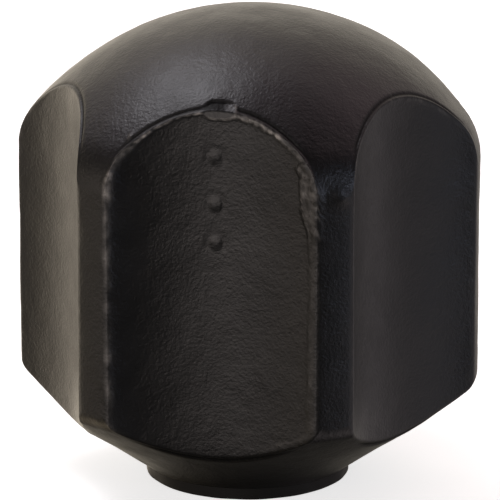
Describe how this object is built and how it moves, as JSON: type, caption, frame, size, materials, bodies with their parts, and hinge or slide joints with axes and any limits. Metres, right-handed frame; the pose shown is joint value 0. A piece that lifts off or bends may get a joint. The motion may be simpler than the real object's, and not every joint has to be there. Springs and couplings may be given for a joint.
{
  "type": "pipe cap",
  "caption": "Domed hexagonal pipe cap with hollow-ground flats, a tapered underside, a threaded collar bush and a captive swivel seal.",
  "frame": {"origin": "on the cap's axis, at the lower face of the collar that the cap stands on", "axes": "+Z along the cap's axis, up to the dome; one of the flats faces -Y and a corner band faces +X"},
  "size_m": [0.0554, 0.05, 0.057],
  "materials": {
    "black_enamel": "satin black enamel over a forged surface",
    "blackened_steel": "turned steel, blackened and oiled",
    "plated_steel": "zinc plated, turned",
    "nitrile_rubber": "matt moulded rubber"
  },
  "bodies": {
    "cap": {"cap_body": "black_enamel", "threaded_bush": "blackened_steel"},
    "disc": {"backing_disc": "plated_steel"},
    "seal": {"seal_gasket": "nitrile_rubber"}
  },
  "joints": [
    {"name": "disc_float", "type": "slide", "parent": "cap", "child": "disc", "axis": [0, 0, 1], "range_m": [0, 0.0008]},
    {"name": "seal_swivel", "type": "hinge", "parent": "disc", "child": "seal", "pos_m": [0, 0, 0.0235], "axis": [0, 0, 1], "continuous": true}
  ]
}
